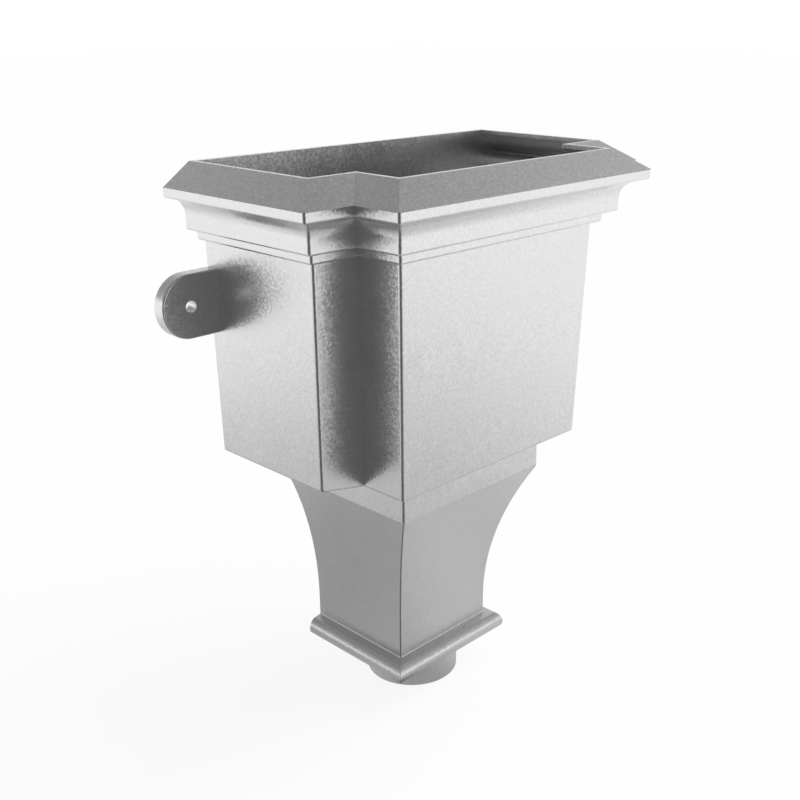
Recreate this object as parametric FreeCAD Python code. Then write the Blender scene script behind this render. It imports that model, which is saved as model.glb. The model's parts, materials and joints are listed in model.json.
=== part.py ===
import FreeCAD, Part
import os
from math import copysign, hypot, radians, tan

# Breakfront rainwater hopper head, cast in one piece of aluminium.
# Millimetres. +Z is up, X runs along the wall and the front faces -Y.
# The origin is on the axis of the outlet, at the lower end of its spigot.

# Plan of the body at its top, under the cornice: a wide back part with a narrower front part
# standing forward of it, which makes the T shape.
front_width = 202.0
wing_width = 39.0
wing_depth = 115.0
front_step = 39.0

# Casting
wall = 4.0
draft_angle = 1.5
corner_radius = 2.4

# Body, from the shallow pyramid of its underside to the foot of the cornice
body_height = 172.5
underside_angle = 11.5

# Cornice, from the body upwards: small fillet, flat band, cove, fascia, sloped weathering, lip
fillet_height = 8.0
fillet_projection = 6.0
band_height = 10.0
band_projection = 14.5
cove_radius = 13.5
fascia_height = 7.0
fascia_projection = 30.5
weathering_height = 15.5
lip_projection = 8.5
lip_width = 3.5
lip_depth = 3.0

# Neck and the flare that hollows in to the throat
neck_width = 153.5
neck_depth = 130.0
neck_height = 26.5
flare_height = 120.5
throat_width = 100.0
throat_depth = 98.0
throat_height = 17.5

# Base moulding round the foot of the throat: a ledge and a round nose
base_height = 13.0
base_ledge = 7.0
base_ledge_fall = 1.0
base_projection = 12.0
base_nose_drop = 9.5
base_floor = 6.0
foot_radius = 1.0

# Outlet spigot
outlet_diameter = 76.0
outlet_wall = 5.0
outlet_length = 29.0
outlet_to_wall = 61.0

# Fixing ears at the two sides, in the plane of the wall
ear_height = 46.0
ear_thickness = 10.0
fixing_spacing = 324.0
fixing_below_lip = 97.0
fixing_diameter = 8.5

# Heights above the end of the spigot
z_base = outlet_length
z_throat = z_base + base_height
z_flare = z_throat + throat_height
z_neck = z_flare + flare_height
z_body = z_neck + neck_height
z_fillet = z_body + body_height
z_band = z_fillet + fillet_height
z_cove = z_band + band_height
z_soffit = z_cove + cove_radius
z_fascia = z_soffit + fascia_height
z_lip = z_fascia + weathering_height
z_fixing = z_lip - fixing_below_lip

wing_half = front_width / 2 + wing_width
front_half = front_width / 2
front_depth = wing_depth + front_step
draft = tan(radians(draft_angle))

# How far a cut runs past the casting, and how close an edge lies to the height it is looked for at
clear_of_lip = 5.0
clear_of_sides = 50.0
same_height = 0.1
same_place = 0.01
nearly_upright = 0.9


def vector(x, y, z):
    return FreeCAD.Vector(x, y, z)


def arc_middle(centre, start, end):
    """The middle point of the arc from start to end about centre, on its shorter side."""
    radius = hypot(start[0] - centre[0], start[1] - centre[1])
    across = (start[0] + end[0] - 2 * centre[0], start[1] + end[1] - 2 * centre[1])
    scale = radius / hypot(*across)
    return ("through", centre[0] + across[0] * scale, centre[1] + across[1] * scale)


def draw(path, place):
    """Joins the points of a path into edges. A point marked "through" is the middle of an arc."""
    edges = []
    here = path[0]
    middle = None
    for point in path[1:]:
        if point[0] == "through":
            middle = place(*point[1:])
            continue
        if middle is None:
            edges.append(Part.makeLine(place(*here), place(*point)))
        else:
            edges.append(Part.Arc(place(*here), middle, place(*point)).toShape())
        here = point
        middle = None
    return edges


def mirrored(path):
    """The same path on the other side of the centre line, run the other way."""
    turned = []
    for point in reversed(path):
        if point[0] == "through":
            turned.append(("through", -point[1], point[2]))
        else:
            turned.append((-point[0], point[1]))
    return turned


def moved_out(path, distance):
    """A path whose first coordinate is a projection, set out from a face at that distance."""
    moved = []
    for point in path:
        if point[0] == "through":
            moved.append(("through", point[1] + distance, point[2]))
        else:
            moved.append((point[0] + distance, point[1]))
    return moved


def block(path, half_width, depth, back):
    """A block whose front and two sides all have the same moulded outline.

    The path gives how far the outline projects at each height. The front elevation, pushed
    from back to front, and the side elevation, pushed from side to side, meet in mitres.
    """
    side = moved_out(path, half_width)
    front = moved_out(path, depth)
    return elevations(side, front, back)


def elevations(side, front, back):
    """The solid common to a symmetrical front elevation and a side elevation from the back face.

    Side holds distances from the centre line and front holds distances from the wall.
    """
    reach = clear_of_sides + max(wing_half, front_depth) + fascia_projection
    outline = side + mirrored(side) + [side[0]]
    edges = draw(outline, lambda x, z: vector(x, outlet_to_wall, z))
    seen_from_front = Part.Face(Part.Wire(edges)).extrude(vector(0, -reach, 0))
    outline = [(back, front[0][1])] + front + [(back, front[-1][1]), (back, front[0][1])]
    edges = draw(outline, lambda y, z: vector(-reach, outlet_to_wall - y, z))
    seen_from_side = Part.Face(Part.Wire(edges)).extrude(vector(2 * reach, 0, 0))
    return seen_from_front.common(seen_from_side)


def cornice_outside():
    """Projection of the body and cornice from the body's top line, from the underside to the lip."""
    cove_start = (band_projection, z_cove)
    cove_end = (band_projection + cove_radius, z_soffit)
    return [
        (-draft * body_height, z_body),
        (0, z_fillet),
        (fillet_projection, z_fillet),
        (fillet_projection, z_band),
        (band_projection, z_band),
        cove_start,
        arc_middle((cove_end[0], cove_start[1]), cove_start, cove_end),
        cove_end,
        (fascia_projection, z_soffit),
        (fascia_projection, z_fascia),
        (lip_projection, z_lip),
    ]


def cornice_inside():
    """The same for the hollow: the wall follows the section, with one slope behind the steps."""
    lip_inside = lip_projection - lip_width
    cove_start = (band_projection - wall, z_cove + wall)
    cove_end = (cove_start[0] + cove_radius, z_soffit + wall)
    return [
        (-wall - draft * body_height, z_body),
        (-wall, z_fillet + wall / 2),
        cove_start,
        arc_middle((cove_end[0], cove_start[1]), cove_start, cove_end),
        cove_end,
        (fascia_projection - wall, z_soffit + wall),
        (lip_inside, z_lip - lip_depth),
        (lip_inside, z_lip + clear_of_lip),
    ]


def flare_curve(wide, narrow):
    """One side of the neck, flare and throat, from the top down: a hollow arc, upright at its foot."""
    fall = z_neck - z_flare
    inset = wide - narrow
    radius = (fall ** 2 + inset ** 2) / (2 * inset)
    top = (wide, z_neck)
    foot = (narrow, z_flare)
    return [top, arc_middle((narrow + radius, z_flare), top, foot), foot]


def underside(inset):
    """The shallow pyramid that closes the body down to the neck, set in by the given wall."""
    low = z_body + inset
    half = neck_width / 2 - inset
    depth = neck_depth - inset
    grow = wing_half + clear_of_sides
    high = low + grow * tan(radians(underside_angle))
    top = z_lip + clear_of_lip * 2
    side = [(half, low), (half + grow, high), (half + grow, top)]
    front = [(depth, low), (depth + grow, high), (depth + grow, top)]
    return elevations(side, front, inset)


def body(path, back):
    """The T-shaped body with its cornice, over its whole height."""
    return block(path, wing_half, wing_depth, back).fuse(block(path, front_half, front_depth, back))


def neck(inset, low, high):
    """The neck, flare and throat between two heights, set in by the given wall."""
    narrow_half = throat_width / 2 - inset
    narrow_depth = throat_depth - inset
    wide_half = neck_width / 2 - inset
    wide_depth = neck_depth - inset
    side = [(wide_half, high)] + flare_curve(wide_half, narrow_half) + [(narrow_half, low)]
    front = [(wide_depth, high)] + flare_curve(wide_depth, narrow_depth) + [(narrow_depth, low)]
    return elevations(side, front, inset)


def base_moulding():
    """A ledge round the foot of the throat that turns over into a round nose."""
    ledge = (base_ledge, z_throat - base_ledge_fall)
    nose_height = z_throat - base_nose_drop
    rise = ledge[1] - nose_height
    run = base_projection - base_ledge
    radius = (rise ** 2 + run ** 2) / (2 * run)
    centre = (base_projection - radius, nose_height)
    nose = (base_projection, nose_height)
    under = z_base - nose_height
    foot = (centre[0] + (radius ** 2 - under ** 2) ** 0.5, z_base)
    path = [
        foot,
        arc_middle(centre, foot, nose),
        nose,
        arc_middle(centre, nose, ledge),
        ledge,
        (0, z_throat),
    ]
    return block(path, throat_width / 2, throat_depth, 0)


def faces_sideways(face):
    """Whether a face looks along the wall (True) or out from it (False)."""
    u_low, u_high, v_low, v_high = face.ParameterRange
    normal = face.normalAt((u_low + u_high) / 2, (v_low + v_high) / 2)
    return abs(normal.x) > abs(normal.y)


def stands_out(shape, edge):
    """Whether an upright corner points out of the casting. The one in the notch points in."""
    middle = edge.CenterOfMass
    beside = middle + vector(copysign(corner_radius, middle.x), corner_radius, 0)
    return not shape.isInside(beside, same_place, False)


def upright_corners(shape, low, high):
    """The nearly upright edges between two heights where a side meets a front and stands out."""
    found = []
    for edge in shape.Edges:
        box = edge.BoundBox
        at_wall = box.YMax > outlet_to_wall - wall
        inside_span = box.ZMin > low - same_height and box.ZMax < high + same_height
        upright = box.ZLength > nearly_upright * edge.Length
        if at_wall or not inside_span or not upright:
            continue
        sideways = [faces_sideways(face) for face in shape.ancestorsOfType(edge, Part.Face)]
        if True in sideways and False in sideways and stands_out(shape, edge):
            found.append(edge)
    return found


def foot_of_throat(shape):
    """The three level edges where the throat stands on the ledge of the base moulding."""
    found = []
    for edge in shape.Edges:
        box = edge.BoundBox
        level = abs(box.ZMin - z_throat) < same_height and abs(box.ZMax - z_throat) < same_height
        if level and box.YMin < outlet_to_wall - wall:
            found.append(edge)
    return found


def softened(shape):
    """Rounds the straight upright corners that stand out, and hollows the foot of the throat."""
    shape = shape.makeFillet(foot_radius, foot_of_throat(shape))
    for low, high in [(z_body, z_fillet), (z_fillet, z_band), (z_soffit, z_fascia)]:
        shape = shape.makeFillet(corner_radius, upright_corners(shape, low, high))
    return shape


def spigot(radius, low, high):
    """A cylinder on the outlet's axis: the spigot itself, or its bore."""
    return Part.makeCylinder(radius, high - low, vector(0, 0, low))


def ear(side):
    """One fixing ear: a plate in the plane of the wall with a round end about its hole."""
    radius = ear_height / 2
    end = side * fixing_spacing / 2
    front = outlet_to_wall - ear_thickness
    disc = Part.makeCylinder(radius, ear_thickness, vector(end, front, z_fixing), vector(0, 1, 0))
    root = side * front_half
    plate = Part.makeBox(abs(end - root), ear_thickness, ear_height)
    plate.translate(vector(min(end, root), front, z_fixing - radius))
    return disc.fuse(plate).removeSplitter()


def fixing_hole(side):
    """The hole for a wall screw, cut from clear in front of an ear to clear behind it."""
    start = vector(side * fixing_spacing / 2, outlet_to_wall - 2 * ear_thickness, z_fixing)
    return Part.makeCylinder(fixing_diameter / 2, 3 * ear_thickness, start, vector(0, 1, 0))


def hopper():
    """The whole casting: the outside in one piece, then the hollow, the bore and the holes."""
    outside = body(cornice_outside(), 0).common(underside(0))
    outside = outside.fuse([neck(0, z_throat - base_ledge_fall, z_body + wall), base_moulding()])
    outside = softened(outside.removeSplitter())
    outside = outside.fuse([ear(-1), ear(1), spigot(outlet_diameter / 2, 0, z_base + base_floor)])
    hollow = body(cornice_inside(), wall).common(underside(wall))
    hollow = hollow.fuse(neck(wall, z_base + base_floor, z_body + 2 * wall))
    bore = spigot(outlet_diameter / 2 - outlet_wall, -clear_of_lip, z_throat)
    return outside.cut([hollow, bore, fixing_hole(-1), fixing_hole(1)]).removeSplitter()


os.makedirs("parts", exist_ok=True)
casting = hopper()
solid = casting.Solids[0]
print("solids", len(casting.Solids), "valid", solid.isValid(), "faces", len(solid.Faces))
print("volume cm3", round(solid.Volume / 1000, 1), "box", solid.BoundBox)
print("centre", solid.CenterOfMass)
solid.exportStep("parts/hopper.step")
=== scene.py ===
import bmesh
import bpy
import json
from math import cos, hypot, radians
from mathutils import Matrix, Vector


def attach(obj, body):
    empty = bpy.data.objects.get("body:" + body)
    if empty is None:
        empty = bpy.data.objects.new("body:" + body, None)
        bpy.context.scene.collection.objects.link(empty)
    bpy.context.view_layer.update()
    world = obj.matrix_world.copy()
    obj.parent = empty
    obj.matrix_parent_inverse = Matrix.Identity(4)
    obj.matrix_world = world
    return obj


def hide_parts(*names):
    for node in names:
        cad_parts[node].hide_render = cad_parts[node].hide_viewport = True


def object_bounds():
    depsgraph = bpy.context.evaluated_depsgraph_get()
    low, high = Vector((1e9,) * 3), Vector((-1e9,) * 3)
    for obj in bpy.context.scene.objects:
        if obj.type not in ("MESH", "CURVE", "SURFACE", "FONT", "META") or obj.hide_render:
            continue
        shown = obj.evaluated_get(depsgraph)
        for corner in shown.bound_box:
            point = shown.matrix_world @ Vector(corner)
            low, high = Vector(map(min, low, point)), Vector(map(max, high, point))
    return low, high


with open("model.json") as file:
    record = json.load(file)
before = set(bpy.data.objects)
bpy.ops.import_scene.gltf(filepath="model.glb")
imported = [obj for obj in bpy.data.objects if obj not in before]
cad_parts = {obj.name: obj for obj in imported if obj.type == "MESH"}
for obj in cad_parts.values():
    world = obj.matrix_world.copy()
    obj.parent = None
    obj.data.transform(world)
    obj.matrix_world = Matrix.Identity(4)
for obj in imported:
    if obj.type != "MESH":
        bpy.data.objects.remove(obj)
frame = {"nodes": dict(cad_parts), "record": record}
cad_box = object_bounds()

# A rainwater hopper head, sand-cast in one piece of aluminium and left bare.
# Metres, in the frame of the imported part: origin at the foot of the outlet spigot, front to -Y.

# The view of the photograph: where the lens stands, which way it looks and what it takes in
CAMERA_PLACE = (-0.5668, -0.5679, 0.5249)
CAMERA_TURN = 46.028
CAMERA_FALL = 19.762
PICTURE_SIDE = 800
FOCAL_PIXELS = 1076.8
CENTRE_PIXEL = (429.7, 402.6)
SENSOR_WIDTH = 36.0

# How much the casting's edges are eased: each kind of edge by its share of the corner radius.
# The sloped top and the edges at the wall stay sharp. The edges round the screw holes and of the
# base moulding are crisp. Those of a face that looks down are eased by the under share.
CORNER_RADIUS = 0.0024
UNDER_SHARE = 0.75
EAR_SHARE = 0.6
FLARE_SHARE = 0.55
CRISP_SHARE = 0.1
EASING_STEPS = 4

# Which edges are which. The sharp top is measured down from the lip, the crisp foot and the flare
# up from the origin, and the crisp holes and the ears out from the middle of each screw hole.
SHARP_TOP = 0.0165
CRISP_FOOT = 0.042
FLARE_TOP = 0.181
HOLE_REACH = 0.006
EAR_REACH = 0.034
LOOKS_DOWN = -0.7

# Degrees. Triangles that fold by less than the flat angle are one flat face, faces that fold by
# less than the smooth angle shade as one surface, and only a fold over the edge angle is an edge.
FLAT_ANGLE = 0.5
SMOOTH_ANGLE = 24
EDGE_ANGLE = 20
SAME_POINT = 0.000001
SAME_PLACE = 0.0001
MM_PER_METRE = 1000

# The studio's floor: its paint, and the share of its white that is its own glow
FLOOR_SIDE = 30.0
FLOOR_WHITE = "F5F5F5"
FLOOR_GLOW = 0.9

# Its dome: the brightness by height, which is the sine of the elevation, and the gain with height
# towards its bright side. No part of it is darker than the darkest.
DOME_STOPS = (
    (0.0, 1.25), (0.06, 1.15), (0.13, 0.78), (0.25, 0.47), (0.42, 0.35), (0.56, 0.28),
    (0.71, 0.18), (0.85, 0.13), (1.0, 0.10))
DOME_BRIGHT_SIDE = (0.94, 0.341, 0.0)
DOME_SIDE_GAIN = 1.8
DOME_DARKEST = 0.22

# Its lamp, a wide soft sun: strength, and its spread and direction in degrees
KEY_STRENGTH = 2.6
KEY_SPREAD = 50
KEY_TILT = 35
KEY_TURN = 60

# Its black flag behind the lens
# The flag's black, which is also the black of the painted shade on the sheet
FLAG_AND_SHADE_BLACK = "5D5D5D"
FLAG_DISTANCE = 1.3
FLAG_WIDTH = 2.0
FLAG_HEIGHT = 0.80

# Its shade sheet, seen only in reflections: painted shade on the floor round the object's foot,
# which the metal's lower faces reflect. How dark it is goes by the share of its reach from its
# centre. It clears sooner towards its steep side. Towards the lens it is painted black, between
# two cosines from that direction, and from two distances from the outlet's axis.
SHEET_RISE = 0.0005
SHEET_SIDE = 5.0
SHEET_STOPS = (
    (0.0, 0.73), (0.045, 0.725), (0.06, 0.68), (0.12, 0.51), (0.17, 0.47), (0.24, 0.51),
    (0.29, 0.44), (0.31, 0.405), (0.42, 0.28), (0.51, 0.16), (0.67, 0.04), (0.85, 0.0))
SHEET_REACH = 1.68
SHEET_CENTRE = (-0.15, 0.15, 0.0)
SHEET_STEEP_SIDE = (0.44, 0.898, 0.0)
SHEET_STEEPNESS = 0.67
SECTOR_EDGES = (0.65, 0.92)
SECTOR_START = (0.02, 0.075)


def linear(hex_colour):
    """An sRGB hex colour as the linear RGBA that a shader takes."""
    channels = [int(hex_colour[place:place + 2], 16) / 255 for place in (0, 2, 4)]
    return [c / 12.92 if c <= 0.04045 else ((c + 0.055) / 1.055) ** 2.4 for c in channels] + [1.0]


def add_node(tree, kind, settings=None, values=None, links=None):
    """Adds a node to a tree. Settings are its properties, values and links go to its inputs."""
    node = tree.nodes.new(kind)
    for name, value in (settings or {}).items():
        setattr(node, name, value)
    for socket, value in (values or {}).items():
        node.inputs[socket].default_value = value
    for socket, source in (links or {}).items():
        tree.links.new(source, node.inputs[socket])
    return node


def new_material(name):
    """A material with an empty node tree."""
    material = bpy.data.materials.new(name)
    material.use_nodes = True
    tree = material.node_tree
    tree.nodes.clear()
    return material, tree


def set_stops(ramp, greys):
    """Sets a colour ramp's stops from pairs of place and grey."""
    stops = ramp.color_ramp.elements
    while len(stops) < len(greys):
        stops.new(1.0)
    for stop, (place, grey) in zip(stops, greys):
        stop.position = place
        stop.color = (grey, grey, grey, 1)


def cast_aluminium():
    """Bare aluminium from a sand mould: pale grey metal under a fine grain that breaks its gloss.

    The grain of the sand is left in the skin, so the metal gleams softly and never mirrors, and
    where light meets dark it shows as speckle. The skin's tone drifts a little over the casting.
    """
    # Widths and heights in millimetres. Real moulding sand leaves a grain well under a millimetre
    # wide, too fine to show in the render, so it is drawn as coarse as it needs to show.
    grain_width = 2.0
    grain_tilt = 0.24
    ripple_width = 9.0
    ripple_height = 0.02
    drift_width = 35.0
    # The skin's roughness follows the drift, and its tone the grain and a share of the drift
    drift_range = (0.3, 0.7)
    roughness_range = (0.27, 0.33)
    drift_share = 0.35
    tone_range = (0.375, 0.975)
    dull_tone = "E4E5E6"
    bright_tone = "F3F3F4"
    material, tree = new_material("sand_cast_aluminium")
    place = add_node(tree, "ShaderNodeTexCoord").outputs["Object"]
    grain = add_node(tree, "ShaderNodeTexNoise", values={
        "Scale": MM_PER_METRE / grain_width, "Detail": 2.0, "Roughness": 0.6},
        links={"Vector": place})
    ripple = add_node(tree, "ShaderNodeTexNoise", values={
        "Scale": MM_PER_METRE / ripple_width, "Detail": 1.0, "Roughness": 0.5},
        links={"Vector": place})
    drift = add_node(tree, "ShaderNodeTexNoise", values={
        "Scale": MM_PER_METRE / drift_width, "Detail": 3.0, "Roughness": 0.6},
        links={"Vector": place})
    ripple_bump = add_node(tree, "ShaderNodeBump", values={
        "Strength": 1.0, "Distance": ripple_height / MM_PER_METRE},
        links={"Height": ripple.outputs[0]})
    lean = add_node(
        tree, "ShaderNodeVectorMath", {"operation": "MULTIPLY_ADD"},
        {1: (grain_tilt, ) * 3, 2: (-grain_tilt / 2, ) * 3}, {0: grain.outputs["Color"]})
    leant = add_node(tree, "ShaderNodeVectorMath", {"operation": "ADD"}, links={
        0: ripple_bump.outputs["Normal"], 1: lean.outputs[0]})
    facing = add_node(
        tree, "ShaderNodeVectorMath", {"operation": "NORMALIZE"}, links={0: leant.outputs[0]})
    gloss = add_node(tree, "ShaderNodeMapRange", values={
        "From Min": drift_range[0], "From Max": drift_range[1],
        "To Min": roughness_range[0], "To Max": roughness_range[1]},
        links={"Value": drift.outputs[0]})
    both = add_node(
        tree, "ShaderNodeMath", {"operation": "MULTIPLY_ADD"}, {1: drift_share},
        {0: drift.outputs[0], 2: grain.outputs[0]})
    share = add_node(tree, "ShaderNodeMapRange", values={
        "From Min": tone_range[0], "From Max": tone_range[1]}, links={"Value": both.outputs[0]})
    # Of a Mix node's sockets, 6 and 7 are its two colours, and output 2 is the mixed one
    tone = add_node(
        tree, "ShaderNodeMix", {"data_type": "RGBA"},
        {6: linear(dull_tone), 7: linear(bright_tone)}, {0: share.outputs[0]})
    metal = add_node(tree, "ShaderNodeBsdfPrincipled", values={"Metallic": 1.0}, links={
        "Base Color": tone.outputs[2], "Roughness": gloss.outputs[0],
        "Normal": facing.outputs[0]})
    add_node(tree, "ShaderNodeOutputMaterial", links={"Surface": metal.outputs[0]})
    return material


def easing(edge, holes):
    """The share of the corner radius that an edge is eased by."""
    if not edge.is_convex or edge.calc_face_angle(0) < radians(EDGE_ANGLE):
        return 0.0
    start, end = [corner.co for corner in edge.verts]
    from_hole = min(hypot(start.x - x, start.z - z) for x, z in holes)
    at_wall = min(start.y, end.y) > cad_box[1][1] - SAME_PLACE
    if at_wall or max(start.z, end.z) > cad_box[1][2] - SHARP_TOP:
        return 0.0
    if from_hole < HOLE_REACH or max(start.z, end.z) < CRISP_FOOT:
        return CRISP_SHARE
    if from_hole < EAR_REACH:
        return EAR_SHARE
    if max(start.z, end.z) < FLARE_TOP:
        return FLARE_SHARE
    if min(face.normal.z for face in edge.link_faces) < LOOKS_DOWN:
        return UNDER_SHARE
    return 1.0


def smooth_shading(mesh):
    """Gives each corner of a face its normal, from the faces about it that fold gently there.

    Broad faces count most, so flat faces shade flat up to their edges, and the eased edges and
    the hollows turn smoothly.
    """
    about = [[] for _ in mesh.vertices]
    for face in mesh.polygons:
        face.use_smooth = True
        for corner in face.vertices:
            about[corner].append((face.normal.copy(), face.area ** 2))
    limit = cos(radians(SMOOTH_ANGLE))
    normals = []
    for face in mesh.polygons:
        for corner in face.vertices:
            total = Vector()
            for normal, weight in about[corner]:
                if normal.dot(face.normal) > limit:
                    total += normal * weight
            normals.append(total.normalized())
    mesh.normals_split_custom_set(normals)


def screw_holes():
    """Where the middles of the two screw holes lie, as x and z, from the part's record."""
    fixings = next(mount for mount in frame["record"]["mounts"] if mount["name"] == "wall_fixings")
    reach = fixings["dims"]["spacing_x_mm"] / MM_PER_METRE / 2
    height = fixings["pos_m"][2]
    return [(-reach, height), (reach, height)]


def casting():
    """The hopper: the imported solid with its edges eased, as they leave a sand mould."""
    mesh = bpy.data.meshes.new("casting")
    shape = bmesh.new()
    shape.from_mesh(frame["nodes"]["hopper"].data)
    bmesh.ops.remove_doubles(shape, verts=shape.verts, dist=SAME_POINT)
    bmesh.ops.dissolve_limit(
        shape, angle_limit=radians(FLAT_ANGLE), verts=shape.verts, edges=shape.edges)
    holes = screw_holes()
    roundness = shape.edges.layers.float.new("bevel_weight_edge")
    for edge in shape.edges:
        edge[roundness] = easing(edge, holes)
    shape.to_mesh(mesh)
    shape.free()
    piece = bpy.data.objects.new("casting", mesh)
    bpy.context.scene.collection.objects.link(piece)
    edges = piece.modifiers.new("edges", "BEVEL")
    edges.width = CORNER_RADIUS
    edges.segments = EASING_STEPS
    edges.limit_method = "WEIGHT"
    edges.use_clamp_overlap = False
    evaluated = piece.evaluated_get(bpy.context.evaluated_depsgraph_get())
    finished = bpy.data.meshes.new_from_object(evaluated)
    piece.modifiers.clear()
    smooth_shading(finished)
    piece.data = finished
    finished.materials.clear()
    finished.materials.append(cast_aluminium())
    return piece


def plane(name, size_x, size_y):
    """A flat rectangle about the origin."""
    mesh = bpy.data.meshes.new(name)
    shape = bmesh.new()
    corners = [(-1, -1), (1, -1), (1, 1), (-1, 1)]
    shape.faces.new([shape.verts.new((x * size_x / 2, y * size_y / 2, 0)) for x, y in corners])
    shape.to_mesh(mesh)
    shape.free()
    piece = bpy.data.objects.new(name, mesh)
    bpy.context.scene.collection.objects.link(piece)
    return piece


def floor():
    """A white studio floor. Part of its white is its own glow, so the backdrop stays white."""
    material, tree = new_material("white_floor")
    paint = add_node(tree, "ShaderNodeBsdfDiffuse", values={"Color": linear(FLOOR_WHITE)})
    glow = add_node(tree, "ShaderNodeEmission", values={"Strength": 1.0})
    path = add_node(tree, "ShaderNodeLightPath")
    seen = add_node(
        tree, "ShaderNodeMath", {"operation": "ADD"},
        links={0: path.outputs["Is Camera Ray"], 1: path.outputs["Is Glossy Ray"]})
    seen = add_node(
        tree, "ShaderNodeMath", {"operation": "ADD", "use_clamp": True},
        links={0: seen.outputs[0], 1: path.outputs["Is Transmission Ray"]})
    share = add_node(
        tree, "ShaderNodeMath", {"operation": "MULTIPLY"}, {1: FLOOR_GLOW}, {0: seen.outputs[0]})
    mix = add_node(tree, "ShaderNodeMixShader", links={
        0: share.outputs[0], 1: paint.outputs[0], 2: glow.outputs[0]})
    add_node(tree, "ShaderNodeOutputMaterial", links={"Surface": mix.outputs[0]})
    piece = plane("floor", FLOOR_SIDE, FLOOR_SIDE)
    piece.data.materials.append(material)


def only_in_reflections(piece):
    """Leaves a stage piece to the reflections: it isn't pictured itself and throws no shadow."""
    piece.visible_camera = False
    piece.visible_diffuse = False
    piece.visible_shadow = False
    piece.visible_transmission = False


def towards_lens():
    """The level direction from the object towards the photograph's lens."""
    way = Vector((CAMERA_PLACE[0], CAMERA_PLACE[1], 0))
    return way.normalized()


def flag():
    """A black studio flag standing behind the lens, so that edges turned to it draw dark."""
    material, tree = new_material("black_flag")
    cloth = add_node(tree, "ShaderNodeEmission", values={"Color": linear(FLAG_AND_SHADE_BLACK)})
    add_node(tree, "ShaderNodeOutputMaterial", links={"Surface": cloth.outputs[0]})
    piece = plane("flag", FLAG_WIDTH, FLAG_HEIGHT)
    piece.data.materials.append(material)
    piece.rotation_euler = (radians(90), 0, -radians(CAMERA_TURN))
    piece.location = towards_lens() * FLAG_DISTANCE
    piece.location.z = FLAG_HEIGHT / 2
    only_in_reflections(piece)


def painted_shade_sheet():
    """A soft-edged sheet of painted shade on the floor round the object, black towards the lens.
    """
    material, tree = new_material("painted_shade_sheet")
    place = add_node(tree, "ShaderNodeTexCoord").outputs["Object"]
    way = add_node(tree, "ShaderNodeVectorMath", {"operation": "NORMALIZE"}, links={0: place})
    away = add_node(
        tree, "ShaderNodeVectorMath", {"operation": "SUBTRACT"}, {1: SHEET_CENTRE}, {0: place})
    distance = add_node(
        tree, "ShaderNodeVectorMath", {"operation": "LENGTH"}, links={0: away.outputs[0]})
    side = add_node(
        tree, "ShaderNodeVectorMath", {"operation": "DOT_PRODUCT"}, {1: SHEET_STEEP_SIDE},
        {0: way.outputs[0]})
    stretch = add_node(
        tree, "ShaderNodeMath", {"operation": "MULTIPLY_ADD"},
        {1: SHEET_STEEPNESS / SHEET_REACH, 2: 1 / SHEET_REACH}, {0: side.outputs["Value"]})
    share = add_node(
        tree, "ShaderNodeMath", {"operation": "MULTIPLY", "use_clamp": True},
        links={0: distance.outputs["Value"], 1: stretch.outputs[0]})
    # The ring: painted shade round the object's foot, fading outwards
    ring = add_node(tree, "ShaderNodeValToRGB", links={0: share.outputs[0]})
    set_stops(ring, SHEET_STOPS)
    # Towards the lens the sheet is painted black: a painted dark reflection for the edges and the
    # outlet
    facing = add_node(
        tree, "ShaderNodeVectorMath", {"operation": "DOT_PRODUCT"}, {1: towards_lens()},
        {0: way.outputs[0]})
    sector = add_node(tree, "ShaderNodeMapRange", values={
        "From Min": SECTOR_EDGES[0], "From Max": SECTOR_EDGES[1]},
        links={"Value": facing.outputs["Value"]})
    far = add_node(tree, "ShaderNodeVectorMath", {"operation": "LENGTH"}, links={0: place})
    beyond = add_node(tree, "ShaderNodeMapRange", values={
        "From Min": SECTOR_START[0], "From Max": SECTOR_START[1]},
        links={"Value": far.outputs["Value"]})
    black = add_node(
        tree, "ShaderNodeMath", {"operation": "MULTIPLY"},
        links={0: sector.outputs[0], 1: beyond.outputs[0]})
    shade = add_node(
        tree, "ShaderNodeMath", {"operation": "MAXIMUM"},
        links={0: ring.outputs[0], 1: black.outputs[0]})
    # The painted shade is a dark glow, mixed in by the shade and seen only in reflections
    clear = add_node(tree, "ShaderNodeBsdfTransparent")
    dark = add_node(tree, "ShaderNodeEmission", values={"Color": linear(FLAG_AND_SHADE_BLACK)})
    mix = add_node(tree, "ShaderNodeMixShader", links={
        0: shade.outputs[0], 1: clear.outputs[0], 2: dark.outputs[0]})
    add_node(tree, "ShaderNodeOutputMaterial", links={"Surface": mix.outputs[0]})
    piece = plane("painted_shade_sheet", SHEET_SIDE, SHEET_SIDE)
    piece.data.materials.append(material)
    piece.location = (0, 0, SHEET_RISE)
    only_in_reflections(piece)


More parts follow.
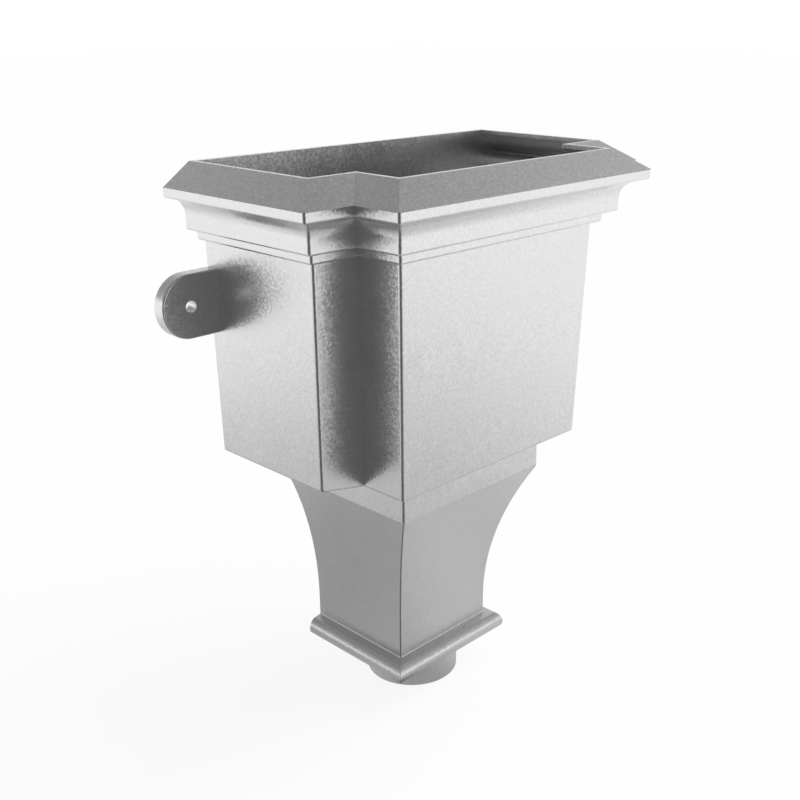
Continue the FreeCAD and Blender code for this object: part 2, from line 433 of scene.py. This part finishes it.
def dome():
    """The studio's dome, white along the horizon and grey overhead, paler behind the object."""
    world = bpy.data.worlds.new("studio")
    bpy.context.scene.world = world
    world.use_nodes = True
    tree = world.node_tree
    tree.nodes.clear()
    way = add_node(tree, "ShaderNodeTexCoord").outputs["Generated"]
    height = add_node(tree, "ShaderNodeSeparateXYZ", links={0: way}).outputs["Z"]
    ramp = add_node(tree, "ShaderNodeValToRGB", links={0: height})
    set_stops(ramp, DOME_STOPS)
    side = add_node(
        tree, "ShaderNodeVectorMath", {"operation": "DOT_PRODUCT"}, {1: DOME_BRIGHT_SIDE},
        {0: way})
    lean = add_node(
        tree, "ShaderNodeMath", {"operation": "MULTIPLY"},
        links={0: side.outputs["Value"], 1: height})
    gain = add_node(
        tree, "ShaderNodeMath", {"operation": "MULTIPLY_ADD"}, {1: DOME_SIDE_GAIN, 2: 1.0},
        {0: lean.outputs[0]})
    light = add_node(
        tree, "ShaderNodeMath", {"operation": "MULTIPLY"},
        links={0: ramp.outputs[0], 1: gain.outputs[0]})
    light = add_node(
        tree, "ShaderNodeMath", {"operation": "MAXIMUM"}, {1: DOME_DARKEST}, {0: light.outputs[0]})
    sky = add_node(
        tree, "ShaderNodeBackground", values={0: (1, 1, 1, 1)}, links={1: light.outputs[0]})
    add_node(tree, "ShaderNodeOutputWorld", links={0: sky.outputs[0]})


def key_lamp():
    """One broad soft lamp. It lights the floor, and the metal doesn't reflect it."""
    lamp = bpy.data.lights.new("key", "SUN")
    lamp.energy = KEY_STRENGTH
    lamp.angle = radians(KEY_SPREAD)
    key = bpy.data.objects.new("key", lamp)
    key.rotation_euler = (radians(KEY_TILT), 0, radians(KEY_TURN))
    key.visible_glossy = False
    bpy.context.scene.collection.objects.link(key)


def camera():
    """The photograph's own view."""
    lens = bpy.data.cameras.new("camera")
    lens.sensor_width = SENSOR_WIDTH
    lens.lens = FOCAL_PIXELS / PICTURE_SIDE * SENSOR_WIDTH
    lens.shift_x = 0.5 - CENTRE_PIXEL[0] / PICTURE_SIDE
    lens.shift_y = CENTRE_PIXEL[1] / PICTURE_SIDE - 0.5
    view = bpy.data.objects.new("camera", lens)
    view.location = CAMERA_PLACE
    view.rotation_euler = (radians(90 - CAMERA_FALL), 0, -radians(CAMERA_TURN))
    bpy.context.scene.collection.objects.link(view)
    bpy.context.scene.camera = view


hopper = casting()
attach(hopper, "root")
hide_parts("hopper")

floor()
flag()
painted_shade_sheet()
dome()
key_lamp()
camera()
bpy.context.scene.view_settings.view_transform = "Standard"
